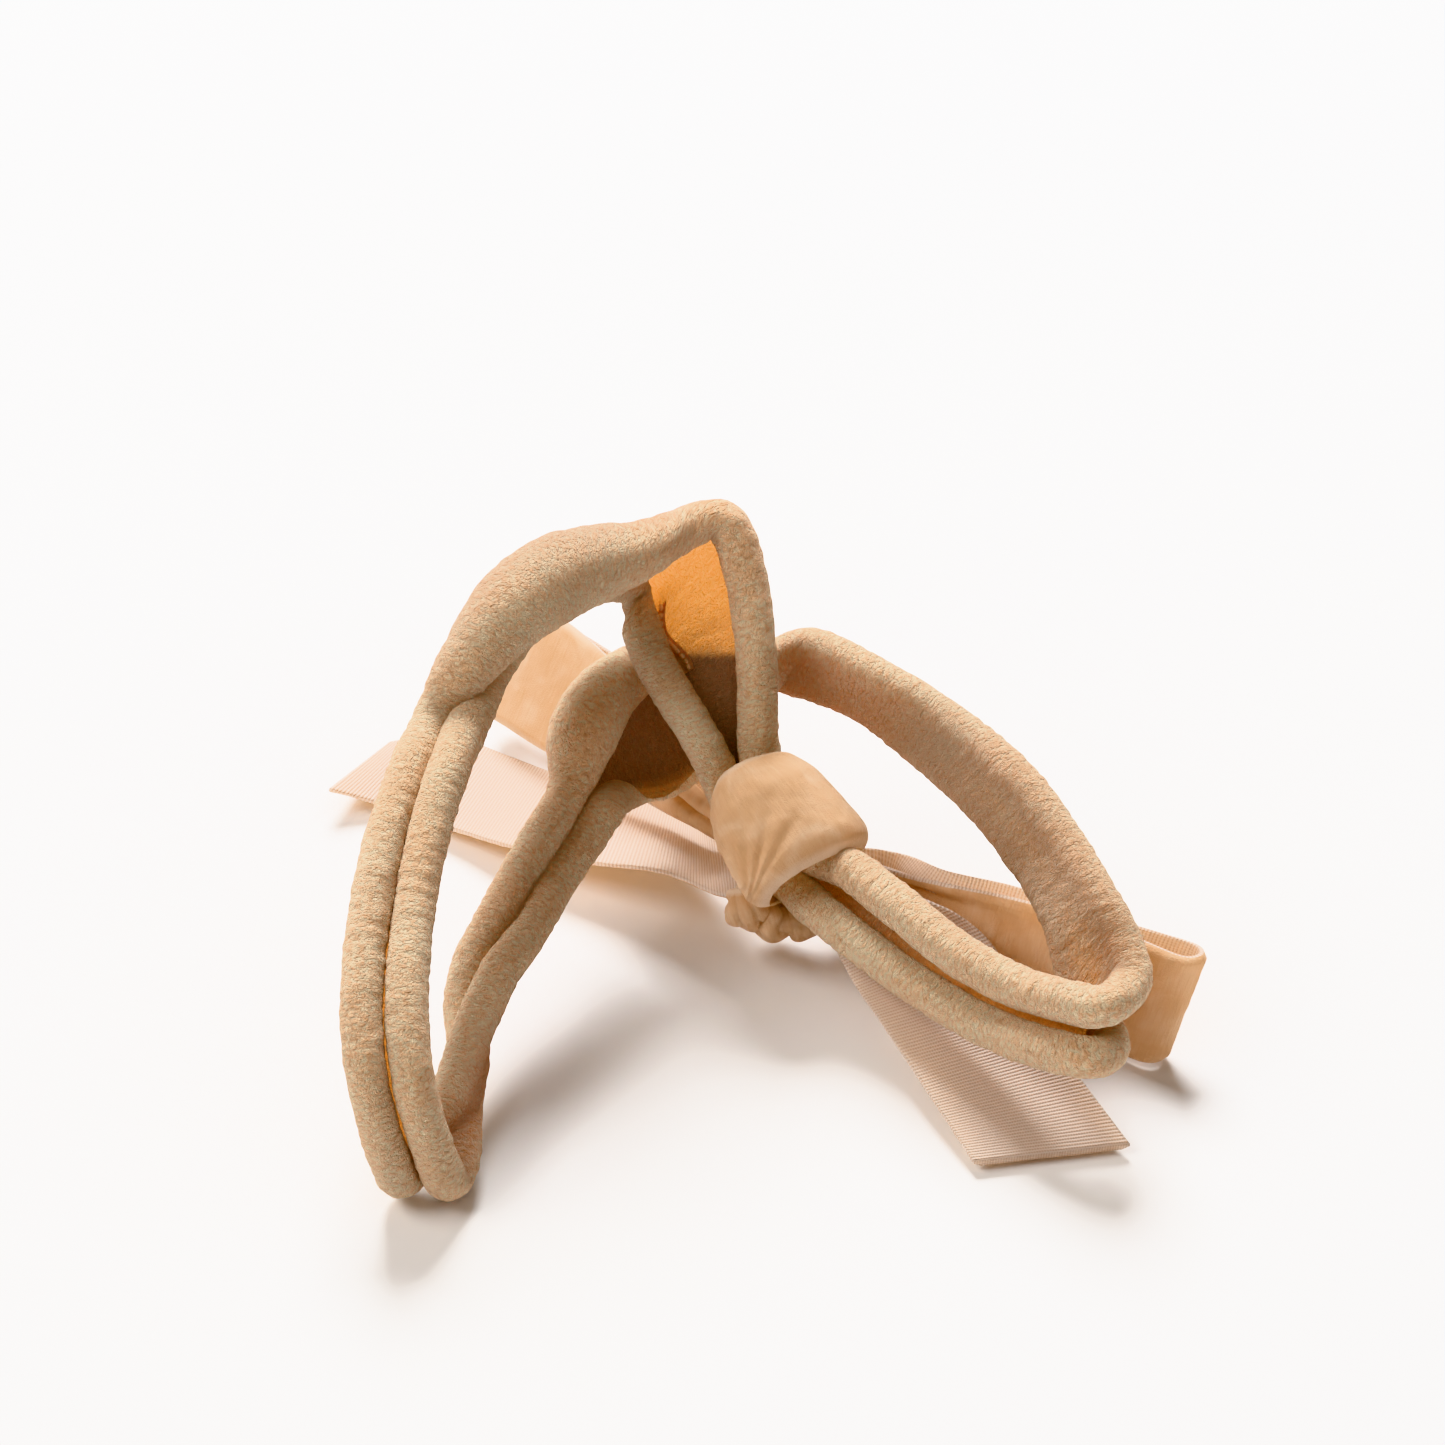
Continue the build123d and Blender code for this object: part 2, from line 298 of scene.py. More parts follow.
# ---------------------------------------------------------------- materials
def new_material(name):
    material = bpy.data.materials.new(name)
    material.use_nodes = True
    tree = material.node_tree
    tree.nodes.clear()
    return material, tree


def add_node(tree, kind, settings=None, **links):
    """A node with its settings and inputs; an input is a value or another node's output."""
    node = tree.nodes.new(kind)
    for key, value in (settings or {}).items():
        setattr(node, key, value)
    for key, value in links.items():
        by_number = key[0] == "i" and key[1:].isdigit()
        slot = node.inputs[int(key[1:]) if by_number else key.replace("_", " ")]
        if isinstance(value, bpy.types.NodeSocket):
            tree.links.new(value, slot)
        else:
            slot.default_value = value
    return node


def reckon(tree, operation, *values):
    """A maths node's result; a value is a number or another node's output."""
    links = {f"i{k}": value for k, value in enumerate(values)}
    return add_node(tree, "ShaderNodeMath", {"operation": operation}, **links).outputs[0]


def ramp(tree, factor, *stops):
    node = add_node(tree, "ShaderNodeValToRGB", None, Fac=factor)
    while len(node.color_ramp.elements) < len(stops):
        node.color_ramp.elements.new(0.5)
    for element, (place, colour) in zip(node.color_ramp.elements, stops):
        element.position = place
        element.color = (*colour, 1)
    return node.outputs["Color"]


def lie_vector(tree, along, across):
    """The cloth's own coordinates, scaled so that one unit is along x across millimetres."""
    spot = add_node(tree, "ShaderNodeAttribute", {"attribute_name": "lie"})
    scaled = add_node(tree, "ShaderNodeVectorMath", {"operation": "MULTIPLY"}, i0=spot.outputs["Vector"],
                      i1=(1 / along, 1 / across, 1))
    return scaled.outputs["Vector"]


def nylon_material():
    material, tree = new_material("brushed_nylon")
    ridges = add_node(tree, "ShaderNodeTexNoise", {"noise_dimensions": "2D"},
                      Vector=lie_vector(tree, 0.26, 0.52),
                      Scale=1.0, Detail=4.0, Roughness=0.6, Distortion=0.5).outputs["Fac"]
    broad = add_node(tree, "ShaderNodeTexNoise", {"noise_dimensions": "2D"}, Vector=lie_vector(tree, 6, 6),
                     Scale=1.0, Detail=2.0).outputs["Fac"]
    fine = add_node(tree, "ShaderNodeTexNoise", {"noise_dimensions": "2D"},
                    Vector=lie_vector(tree, 0.13, 0.16),
                    Scale=1.0, Detail=2.0).outputs["Fac"]
    mixed = reckon(tree, "MULTIPLY_ADD", broad, 0.3, ridges)
    colour = ramp(tree, mixed, (0.38, (0.78, 0.46, 0.24)), (0.58, (1.0, 0.65, 0.38)),
                  (0.8, (1.0, 0.84, 0.57)))
    # painted shade: the colour is mixed toward a dark shade colour where the strip's shade attribute says so;
    # see SHADE_NORMAL for the flat stretch's part of it
    spot = add_node(tree, "ShaderNodeAttribute", {"attribute_name": "lie"})
    beyond = add_node(tree, "ShaderNodeSeparateXYZ", None, Vector=spot.outputs["Vector"]).outputs["Z"]
    opaque_and_shade = add_node(tree, "ShaderNodeAttribute", {"attribute_name": "opaque_and_shade"}).outputs["Fac"]
    shade_amount = add_node(tree, "ShaderNodeMath", {"operation": "MULTIPLY"}, i0=opaque_and_shade, i1=0.8)
    colour = add_node(tree, "ShaderNodeMixRGB", None, Fac=shade_amount.outputs[0], Color1=colour,
                      Color2=(0.42, 0.2, 0.13, 1)).outputs[0]
    height = reckon(tree, "MULTIPLY_ADD", fine, 0.5, ridges)
    bump = add_node(tree, "ShaderNodeBump", None, Strength=1.0, Distance=0.00055,
                        Height=height).outputs["Normal"]
    cloth = add_node(tree, "ShaderNodeBsdfPrincipled", None, Base_Color=colour, Roughness=0.95, Normal=bump)
    cloth.inputs["Sheen Weight"].default_value = 0.75
    cloth.inputs["Sheen Roughness"].default_value = 0.5
    cloth.inputs["Sheen Tint"].default_value = (1, 0.84, 0.68, 1)
    cloth.inputs["Specular IOR Level"].default_value = 0.15
    through = add_node(tree, "ShaderNodeBsdfTranslucent", None, Color=(0.98, 0.42, 0.11, 1), Normal=bump)
    # the web is stretched thin, the rolls are many layers
    thin = add_node(tree, "ShaderNodeMapRange", None, Value=beyond, From_Min=0.3, From_Max=2.6,
                    To_Min=0.5, To_Max=0.14)
    single = add_node(tree, "ShaderNodeMath", {"operation": "SUBTRACT", "use_clamp": True}, i0=1.0, i1=opaque_and_shade)
    thin = reckon(tree, "MULTIPLY", thin.outputs[0], single.outputs[0])
    both = add_node(tree, "ShaderNodeMixShader", None, Fac=thin, i1=cloth.outputs[0], i2=through.outputs[0])
    add_node(tree, "ShaderNodeOutputMaterial", None, Surface=both.outputs[0])
    return material


def velvet_material():
    material, tree = new_material("velvet_pile")
    streaks = add_node(tree, "ShaderNodeTexNoise", {"noise_dimensions": "2D"},
                       Vector=lie_vector(tree, 0.22, 2.2),
                       Scale=1.0, Detail=3.0, Roughness=0.6).outputs["Fac"]
    clouds = add_node(tree, "ShaderNodeTexNoise", {"noise_dimensions": "2D"}, Vector=lie_vector(tree, 3, 3),
                      Scale=1.0, Detail=3.0, Distortion=0.8).outputs["Fac"]
    tuft = add_node(tree, "ShaderNodeTexNoise", {"noise_dimensions": "2D"}, Vector=lie_vector(tree, 0.1, 0.1),
                    Scale=1.0, Detail=1.0).outputs["Fac"]
    mixed = reckon(tree, "MULTIPLY_ADD", streaks, 0.35, clouds)
    colour = ramp(tree, mixed, (0.3, (0.66, 0.43, 0.25)), (0.68, (0.78, 0.54, 0.34)), (1.0, (0.9, 0.7, 0.5)))
    # the woven selvedge shows along each side
    spot = add_node(tree, "ShaderNodeAttribute", {"attribute_name": "lie"})
    across = add_node(tree, "ShaderNodeSeparateXYZ", None, Vector=spot.outputs["Vector"]).outputs["Y"]
    off = add_node(tree, "ShaderNodeMath", {"operation": "ABSOLUTE"}, i0=across).outputs[0]
    edge = add_node(tree, "ShaderNodeMapRange", None, Value=off, From_Min=4.3, From_Max=4.75,
                    To_Min=0.0, To_Max=0.7)
    colour = add_node(tree, "ShaderNodeMixRGB", None, Fac=edge.outputs[0], Color1=colour,
                      Color2=(0.94, 0.84, 0.7, 1)).outputs[0]
    height = reckon(tree, "MULTIPLY_ADD", tuft, 0.6, streaks)
    bump = add_node(tree, "ShaderNodeBump", None, Strength=0.7, Distance=0.00016,
                        Height=height).outputs["Normal"]
    pile = add_node(tree, "ShaderNodeBsdfPrincipled", None, Base_Color=colour, Roughness=0.9, Normal=bump)
    pile.inputs["Sheen Weight"].default_value = 0.8
    pile.inputs["Sheen Roughness"].default_value = 0.3
    pile.inputs["Sheen Tint"].default_value = (1, 0.86, 0.7, 1)
    pile.inputs["Specular IOR Level"].default_value = 0.1
    through = add_node(tree, "ShaderNodeBsdfTranslucent", None, Color=(0.98, 0.7, 0.42, 1))
    both = add_node(tree, "ShaderNodeMixShader", None, Fac=0.34, i1=pile.outputs[0], i2=through.outputs[0])
    add_node(tree, "ShaderNodeOutputMaterial", None, Surface=both.outputs[0])
    return material


def woven_material():
    material, tree = new_material("woven_back")
    ribs = add_node(tree, "ShaderNodeTexWave",
                    {"wave_type": "BANDS", "bands_direction": "X", "wave_profile": "SIN"},
                    Vector=lie_vector(tree, 0.29, 0.29), Scale=0.318, Distortion=0.5, Detail=1.0).outputs["Fac"]
    weft = add_node(tree, "ShaderNodeTexWave",
                    {"wave_type": "BANDS", "bands_direction": "Y", "wave_profile": "SIN"},
                    Vector=lie_vector(tree, 0.2, 0.2), Scale=0.318, Distortion=0.4, Detail=1.0).outputs["Fac"]
    both_ways = reckon(tree, "MULTIPLY_ADD", weft, 0.35, ribs)
    colour = ramp(tree, both_ways, (0.15, (0.62, 0.49, 0.4)), (0.6, (0.86, 0.76, 0.67)),
                  (1.0, (0.95, 0.88, 0.81)))
    bump = add_node(tree, "ShaderNodeBump", None, Strength=0.6, Distance=0.0001,
                        Height=both_ways).outputs["Normal"]
    back = add_node(tree, "ShaderNodeBsdfPrincipled", None, Base_Color=colour, Roughness=0.5, Normal=bump)
    back.inputs["Sheen Weight"].default_value = 0.2
    back.inputs["Specular IOR Level"].default_value = 0.35
    through = add_node(tree, "ShaderNodeBsdfTranslucent", None, Color=(0.98, 0.8, 0.62, 1))
    both = add_node(tree, "ShaderNodeMixShader", None, Fac=0.4, i1=back.outputs[0], i2=through.outputs[0])
    add_node(tree, "ShaderNodeOutputMaterial", None, Surface=both.outputs[0])
    return material


def thread_material():
    material, tree = new_material("sewing_thread")
    twist = add_node(tree, "ShaderNodeTexWave", {"bands_direction": "DIAGONAL"},
                     Vector=lie_vector(tree, 0.2, 0.2),
                     Scale=1.0).outputs["Fac"]
    colour = ramp(tree, twist, (0.0, (0.92, 0.72, 0.5)), (1.0, (1.0, 0.9, 0.74)))
    body = add_node(tree, "ShaderNodeBsdfPrincipled", None, Base_Color=colour, Roughness=0.7)
    through = add_node(tree, "ShaderNodeBsdfTranslucent", None, Color=(1, 0.8, 0.55, 1))
    both = add_node(tree, "ShaderNodeMixShader", None, Fac=0.6, i1=body.outputs[0], i2=through.outputs[0])
    add_node(tree, "ShaderNodeOutputMaterial", None, Surface=both.outputs[0])
    return material


NYLON, VELVET, WOVEN, THREAD = nylon_material(), velvet_material(), woven_material(), thread_material()

# ---------------------------------------------------------------- the strip
STEP = 0.2              # mm between rows along the strip
LAYER = 0.5             # mm a roll's inner turn sits inside its outer one
SHRINK = 0.9            # mm of radius it loses in each further turn
ROLL_COLS, WEB_COLS = 34, 12
TURN_INSIDE = 0.72      # turns before a roll starts to pass inside itself
TURN_SETTLED = 0.28     # further turns over which it moves in by LAYER
UNEVEN = 0.07           # share by which a roll's radius varies along the strip
UNEVEN_LONG = 9         # mm of strip to each variation
# Below a fixed plane the flat stretch is painted in shade, darker and letting little light through, as if the
# strip passing behind it kept the light off. Nothing in its shape makes that edge. The plane's normal is the
# camera's up direction, so the edge is level in the camera's own view only.
SHADE_NORMAL = np.array([0, 0.643, 0.766])
SHADE_AT = 21.6         # mm along the plane's normal
SHADE_SOFT = 0.5        # mm over which the dark gives way
JOIN_FROM_END = 24      # mm of strip from the flat stretch's top to the knot
OPAQUE_SHADE_REACH = 0.28       # how far the painted shade and the lower see-through reach into a roll, as a share of its columns
ROLL_LONG = 12          # mm that the third lie coordinate rises from the web to a roll's inner end
# crepe relief: (depth in mm, stretch along its second coordinate, size in mm, seed)
CREPE = ((0.1, 0.45, 0.6, 3), (0.07, 0.7, 2.4, 4))


def strip_rows():
    """The whole loop's rows, each with its rolls' radii and turns and how see-through and lit it is painted."""
    table = []
    for station in STRIP:
        extras = station[2] if len(station) > 2 else ROLL
        table.append((*station[0], *station[1], *extras))
    return route(table, STEP, closed=True, soften=0.5)


def roll_points(centre, across, outward, radius, turns, sense, cols):
    """One curled edge, from its inner end out to the web; sense is -1 for edge A and 1 for edge B."""
    share = np.linspace(1, 0, cols)[None, :, None]
    angle = share * turns[:, None, None] * 2 * math.pi
    past = np.clip(angle / (2 * math.pi) - TURN_INSIDE, 0, None)
    size = radius[:, None, None] - LAYER * np.minimum(past / TURN_SETTLED, 1)
    size = size - SHRINK * np.clip(past - TURN_SETTLED, 0, None)
    spoke = np.cos(angle) * outward[:, None, :] + sense * np.sin(angle) * across[:, None, :]
    return centre[:, None, :] + size * spoke


def make_strip():
    """The nylon band, its points, normals and flat coordinates, and its flat width and length in mm."""
    rows, at = strip_rows()
    a, b = rows[:, :3], rows[:, 3:6]
    middle = (a + b) / 2
    along = slope(middle, True)
    across = b - a
    across = unit(across - along * np.sum(across * along, axis=1, keepdims=True))
    radius_a, radius_b, turns_a, turns_b, sheer_and_lit = rows[:, 6:11].T
    slow = np.stack([at / UNEVEN_LONG, np.zeros_like(at), np.zeros_like(at)], axis=1)
    radius_a = radius_a * (1 + UNEVEN * wobble(slow, 1, 1))
    radius_b = radius_b * (1 + UNEVEN * wobble(slow, 1, 2))
    parts = []
    for centre, radius, turns, sense in ((a, radius_a, turns_a, -1), (b, radius_b, turns_b, 1)):
        own = slope(centre, True)
        own = unit(own + along)
        side = unit(across - own * np.sum(across * own, axis=1, keepdims=True))
        out = unit(np.cross(own, side))
        parts.append(roll_points(centre, side, out, radius, turns, sense, ROLL_COLS))
    roll_a, roll_b = parts
    start, end = roll_a[:, -1:, :], roll_b[:, -1:, :]
    share = np.linspace(0, 1, WEB_COLS + 2)[None, 1:-1, None]
    web = start + (end - start) * share
    points = np.concatenate([roll_a, web, roll_b[:, ::-1, :]], axis=1)
    steps = np.linalg.norm(np.diff(points, axis=1), axis=2)
    flat = np.concatenate([np.zeros((len(points), 1)), np.cumsum(steps, axis=1)], axis=1)
    flat -= flat[:, -1:] / 2
    # how far each column is from the web, 0 on it and 1 at a roll's inner end
    count = np.arange(points.shape[1])
    beyond = np.maximum(np.maximum(ROLL_COLS - count, count - ROLL_COLS - WEB_COLS), 0) / ROLL_COLS
    lie = np.stack([np.broadcast_to(at[:, None], flat.shape), flat,
                    np.broadcast_to(beyond * ROLL_LONG, flat.shape)], axis=2)
    stretch = at[:, None] > at[-1] - JOIN_FROM_END
    # painted shade: on the flat stretch below the shade plane, elsewhere as the tables' last value says; it
    # fades out into the rolls
    above = np.clip((points @ SHADE_NORMAL - SHADE_AT) / SHADE_SOFT, 0, 1)
    sheer_and_lit = np.where(stretch, above, sheer_and_lit[:, None])
    opaque_and_shade = (1 - sheer_and_lit) * np.clip(1 - beyond / OPAQUE_SHADE_REACH, 0, 1)
    normals = grid_normals(points)
    relief = sum(depth * wobble(lie * (1, squeeze, 0), size, seed) for depth, squeeze, size, seed in CREPE)
    relief[:1] = relief[-1:] = 0
    points = points + normals * relief[..., None]
    rows_n, cols_n = points.shape[:2]
    piece = make_mesh("nylon_band", points, grid_faces(rows_n, cols_n), [NYLON], lie=lie, opaque_and_shade=opaque_and_shade)
    return piece, points, grid_normals(points), lie, float(flat[:, -1].mean() * 2), float(at[-1])


band, strip_points, strip_normals, strip_lie, strip_width, strip_length = make_strip()
band_nodes = [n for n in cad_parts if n.startswith("band_")]
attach(band, "root")
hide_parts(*band_nodes)


# ---------------------------------------------------------------- the sewn join: a second ply, stitched
JOIN_TOP = np.array(FLAT_STRETCH[0][:2]).mean(axis=0)
JOIN_FOOT = (np.array(FLAT_STRETCH[2][:2]).mean(axis=0) * 0.75
             + np.array(FLAT_STRETCH[1][:2]).mean(axis=0) * 0.25)
PLY_GAP, PLY_THICK = 0.2, 0.14      # mm
PLY_FREE, PLY_WAVER = 0.72, 0.05    # where its free edge lies across the web, and by how much that varies
STITCHES, THREAD_RADIUS = 11, 0.16  # the radius in mm
WEB_FIRST, WEB_LAST = ROLL_COLS - 2, ROLL_COLS + WEB_COLS + 2


def tube(path, radius, spokes=8):
    """Points and faces of a capped tube along a path of points."""
    along = slope(path, False)
    side = unit(np.cross(along, np.where(np.abs(along[:, 2:]) > 0.9, [1.0, 0, 0], [0, 0, 1.0])))
    other = np.cross(along, side)
    turn = np.arange(spokes) * 2 * math.pi / spokes
    ends = np.sqrt(np.clip(1 - np.linspace(-1, 1, len(path)) ** 8, 0.04, 1))
    spoke = np.cos(turn)[:, None] * side[:, None] + np.sin(turn)[:, None] * other[:, None]
    rings = path[:, None] + radius * ends[:, None, None] * spoke
    faces = []
    for i in range(len(path) - 1):
        for j in range(spokes):
            k = (j + 1) % spokes
            faces.append((i * spokes + j, i * spokes + k, (i + 1) * spokes + k, (i + 1) * spokes + j))
    faces.append(tuple(range(spokes))[::-1])
    faces.append(tuple((len(path) - 1) * spokes + j for j in range(spokes)))
    return rings.reshape(-1, 3), faces


def make_join():
    """The second ply lies on the web's inner side by edge B, and the stitches run along its free edge."""
    web = strip_points[:, WEB_FIRST:WEB_LAST]
    first = int(np.argmin(np.linalg.norm(web.mean(axis=1) - JOIN_TOP, axis=1)))
    last = int(np.argmin(np.linalg.norm(web.mean(axis=1) - JOIN_FOOT, axis=1)))
    n, m = last - first, 9
    down = np.linspace(0, 1, n)
    free = WEB_FIRST + (WEB_LAST - WEB_FIRST - 1) * (PLY_FREE + PLY_WAVER * np.sin(down * 5))
    cols = free[:, None] + (WEB_LAST - 1 - free[:, None]) * np.linspace(0, 1, m)[None, :]
    low = cols.astype(int)
    low = np.minimum(low, strip_points.shape[1] - 2)
    share = (cols - low)[..., None]
    rows = np.arange(first, last)[:, None]
    base = strip_points[rows, low] * (1 - share) + strip_points[rows, low + 1] * share
    out = -unit(strip_normals[rows, low])
    lie = (strip_lie[rows, low] * (1 - share) + strip_lie[rows, low + 1] * share) * (1, 1, 0)
    lip = 0.03 * np.exp(-np.arange(m) / 1.2)[None, :, None]
    top, under = base + out * (PLY_GAP + lip), base + out * (PLY_GAP - PLY_THICK)
    faces = grid_faces(n, m).tolist() + grid_faces(n, m, n * m)[:, ::-1].tolist()
    lap = grid_lap(n, m)
    faces += [(i, j, j + n * m, i + n * m) for i, j in zip(lap, lap[1:] + lap[:1])]
    both = np.concatenate([top.reshape(-1, 3), under.reshape(-1, 3)])
    ply = make_mesh("join_ply", both, faces, [NYLON], lie=np.concatenate([lie.reshape(-1, 3)] * 2),
                    opaque_and_shade=np.zeros(2 * n * m))
    points, faces, lies, start = [], [], [], 0
    for k in range(STITCHES):
        here = int((k + 0.1) / STITCHES * (n - 1))
        there = min(int((k + 0.9) / STITCHES * (n - 1)), n - 1)
        share = np.linspace(0, 1, 9)[:, None]
        line = top[here, 1] + (top[there, 1] - top[here, 1]) * share
        line = line + out[here, 1] * (0.14 + 0.1 * np.sin(share * math.pi))
        ring, quads = tube(line, THREAD_RADIUS)
        points.append(ring)
        lies.append(ring)
        faces += [tuple(i + start for i in quad) for quad in quads]
        start += len(ring)
    stitches = make_mesh("join_stitches", np.concatenate(points), faces, [THREAD], lie=np.concatenate(lies))
    return ply, stitches


join_ply, join_stitches = make_join()
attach(join_ply, "root")
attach(join_stitches, "root")
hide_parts("join_stitching")

# ---------------------------------------------------------------- ribbons
PILE = 0.35             # mm the velvet stands off the backing
PILE_EDGE = 0.5         # mm at each side over which the pile rises
BACKING = 0.3           # mm thick
RIBBON_COLS = 40
RIBBON_WIDTH = 10       # mm as cut
GATHER_FROM = 1.2       # cut width over width in place, past which it gathers
FOLDS = 2
FOLD_LIMIT = 0.6        # mm, the most a fold stands up
FOLD_PHASE = 0.8


def make_ribbon(name, stations, velvet_out, step=0.3, soften=0.6):
    """A length of velvet ribbon; velvet_out is 1 if the pile is on the side of travel x across, else -1."""
    rows, at = route([(*s[0], *s[1]) for s in stations], step, soften=soften)
    a, b = rows[:, None, :3], rows[:, None, 3:6]
    share = np.linspace(0, 1, RIBBON_COLS)[None, :, None]
    sheet = a + (b - a) * share
    width = np.linalg.norm((b - a)[:, 0], axis=1)
    # where it is narrower than it was cut, the rest of its width stands in folds
    spare = np.clip(RIBBON_WIDTH / width - GATHER_FROM, 0, 1)
    fold = np.minimum(FOLD_LIMIT, width / (math.pi * FOLDS) * np.sqrt(spare))
    wave = np.sin(2 * math.pi * FOLDS * share[..., 0] + FOLD_PHASE) - math.sin(FOLD_PHASE)
    sheet = sheet + grid_normals(sheet) * (fold[:, None] * wave)[..., None]
    normals = grid_normals(sheet)
    across = (share[..., 0] - 0.5) * width[:, None]
    lie = np.stack([np.broadcast_to(at[:, None], across.shape), across, np.zeros_like(across)], axis=2)
    edge = np.clip((0.5 - np.abs(share[..., 0] - 0.5)) * RIBBON_WIDTH / PILE_EDGE, 0, 1)
    pile = sheet + normals * velvet_out * (BACKING / 2 + PILE * edge[..., None])
    back = sheet - normals * velvet_out * BACKING / 2
    pile = pile + normals * (0.05 * wobble(lie, 0.8, 7) + 0.05 * wobble(lie, 2.5, 8))[..., None]
    n, m = sheet.shape[:2]
    front_faces = grid_faces(n, m)
    back_faces = grid_faces(n, m, n * m)[:, ::-1]
    if velvet_out < 0:
        front_faces, back_faces = front_faces[:, ::-1], back_faces[:, ::-1]
    rim = []
    lap = grid_lap(n, m)
    for k, i in enumerate(lap):
        j = lap[(k + 1) % len(lap)]
        quad = (i, j, j + n * m, i + n * m)
        rim.append(quad if velvet_out > 0 else quad[::-1])
    faces = np.concatenate([front_faces, back_faces, np.array(rim)])
    which = [0] * len(front_faces) + [1] * (len(back_faces) + len(rim))
    points = np.concatenate([pile.reshape(-1, 3), back.reshape(-1, 3)])
    lies = np.concatenate([lie.reshape(-1, 3)] * 2)
    return make_mesh(name, points, faces, [VELVET, WOVEN], which, lies), at[-1]


# name, stations, pile side, body, CAD node, where it is still held by the knot, where it is free to bend (m)
RIBBONS = (
    ("left_loop_ribbon", [((1, 1.4, 4.2), (0.8, 1.8, 7.4)), ((-0.6, 3.4, 5.4), (-0.8, 4.4, 7.9))] + LEFT_LOOP
     + [((-0.4, 5.2, 5.4), (-0.6, 5.8, 7.7)), ((1.4, 2.2, 4.2), (1.2, 2.6, 7))], -1,
     "left_loop", "bow_left_loop", (-0.0025, 0.0065, 0.006), (-0.0065, 0.011, 0.006)),
    ("right_loop_ribbon", [((2.4, 0.6, 3.6), (2.4, 0.6, 6.6)), ((6.4, 1.3, 3), (6.4, 1.3, 7))] + RIGHT_LOOP
     + [((7, 2.8, 3), (7, 2.8, 7)), ((2.6, 1.6, 3.6), (2.6, 1.6, 6.6))], 1,
     "right_loop", "bow_right_loop", (0.009, 0.0016, 0.005), (0.0135, -0.001, 0.005)),
    ("left_tail_ribbon", [((-0.6, -2.6, 7), (-0.2, 5.4, 5.2))] + LEFT_TAIL, 1,
     "left_tail", "bow_left_tail", (-0.0025, 0.0035, 0.005), (-0.007, 0.006, 0.005)),
    ("right_tail_ribbon", [((4.9, 0.4, 4.4), (8.4, -0.6, 7.6))] + RIGHT_TAIL, -1,
     "right_tail", "bow_right_tail", (0.008, -0.0022, 0.006), (0.0095, -0.0065, 0.006)),
)
for name, stations, velvet_out, body, node, fixed_to, free_from in RIBBONS:
    ribbon, length = make_ribbon(name, stations, velvet_out)
    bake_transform(ribbon)
    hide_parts(node)


# ---------------------------------------------------------------- the knot: a turn of ribbon round the strip
KNOT_ENDS = np.array([(-1.7, 4.9, 13.4), (5, -3.5, 8.25)])
KNOT_ALONG = unit(KNOT_ENDS[1] - KNOT_ENDS[0])
KNOT_ACROSS = np.array([1, 0.35, 0.0])
KNOT_ACROSS = unit(KNOT_ACROSS - KNOT_ALONG * KNOT_ACROSS.dot(KNOT_ALONG))
KNOT_OUT = np.cross(KNOT_ALONG, KNOT_ACROSS)
KNOT_OUT *= np.sign(KNOT_OUT[2])
KNOT_MIDDLE = KNOT_ENDS.mean(axis=0) - 0.6 * KNOT_ALONG - 0.2 * KNOT_ACROSS


def make_knot():
    """Rows run round the strip, columns run along it; both edges turn in until they meet the strip."""
    rounds, cols = 200, 72
    turn = np.linspace(0, 2 * math.pi, rounds)
    reach = np.linspace(-1, 1, cols)
    places = [-1, -0.94, -0.8, -0.4, 0.2, 0.7, 0.92, 1]
    wide = np.interp(reach, places, [3.0, 3.7, 4.15, 4.9, 5.3, 5.5, 5.1, 4.2])
    tall = np.interp(reach, places, [2.2, 2.9, 3.4, 4.1, 4.2, 4.0, 3.6, 2.8])
    wide, tall = gauss(wide[:, None], 2, False)[:, 0], gauss(tall[:, None], 2, False)[:, 0]
    cos, sin = np.cos(turn)[:, None], np.sin(turn)[:, None]
    # the ribbon bunches where it goes under, on the lower left
    bunch = np.exp(-(((turn[:, None] - math.pi * 1.08 + math.pi) % (2 * math.pi) - math.pi) / 0.75) ** 2)
    length = 4.9 * (1 - 0.1 * bunch)
    shift = 0.9 * bunch + 0.35 * np.cos(turn)[:, None]
    s_at = reach[None, :] * length + shift
    fold = reach[None, :] * 5.2 + 0.7 * np.sin(2 * turn)[:, None] + 0.6
    crease = -np.cos(fold * 2.4) ** 2
    swell = 1 + 0.015 * bunch * crease
    across = wide[None, :] * cos * swell
    out = tall[None, :] * sin * swell
    lie = np.stack([np.broadcast_to(turn[:, None] * 4.6, across.shape),
                    np.broadcast_to(reach[None, :] * 5, across.shape), np.zeros_like(across)], axis=2)
    points = (KNOT_MIDDLE + s_at[..., None] * KNOT_ALONG + across[..., None] * KNOT_ACROSS
              + out[..., None] * KNOT_OUT)
    normals = -grid_normals(points)
    side = np.sign(np.sum(normals * (points - KNOT_MIDDLE), axis=2).mean())
    relief = 0.08 * wobble(lie, 3.2, 21) + 0.03 * wobble(lie, 0.7, 22)
    # creases fan out from the lower left corner, where the ribbon tucks under
    away = points - (KNOT_MIDDLE + KNOT_ALONG * 4.4 - KNOT_ACROSS * 6)
    reach_out, reach_up = away @ -KNOT_ALONG, away @ KNOT_ACROSS
    bearing, distance = np.arctan2(reach_up, reach_out), np.hypot(reach_out, reach_up)
    for crease_at, depth in ((0.2, 0.14), (0.48, 0.22), (0.78, 0.26), (1.1, 0.2)):
        line = np.exp(-((bearing - crease_at) / 0.09) ** 2) * np.exp(-(distance / 6.5) ** 2)
        relief = relief - depth * line * (points @ KNOT_OUT > KNOT_MIDDLE @ KNOT_OUT - 1)
    relief[-1] = relief[0]
    points = points + normals * side * relief[..., None]
    return make_mesh("knot_wrap", points, grid_faces(rounds, cols), [VELVET], lie=lie)


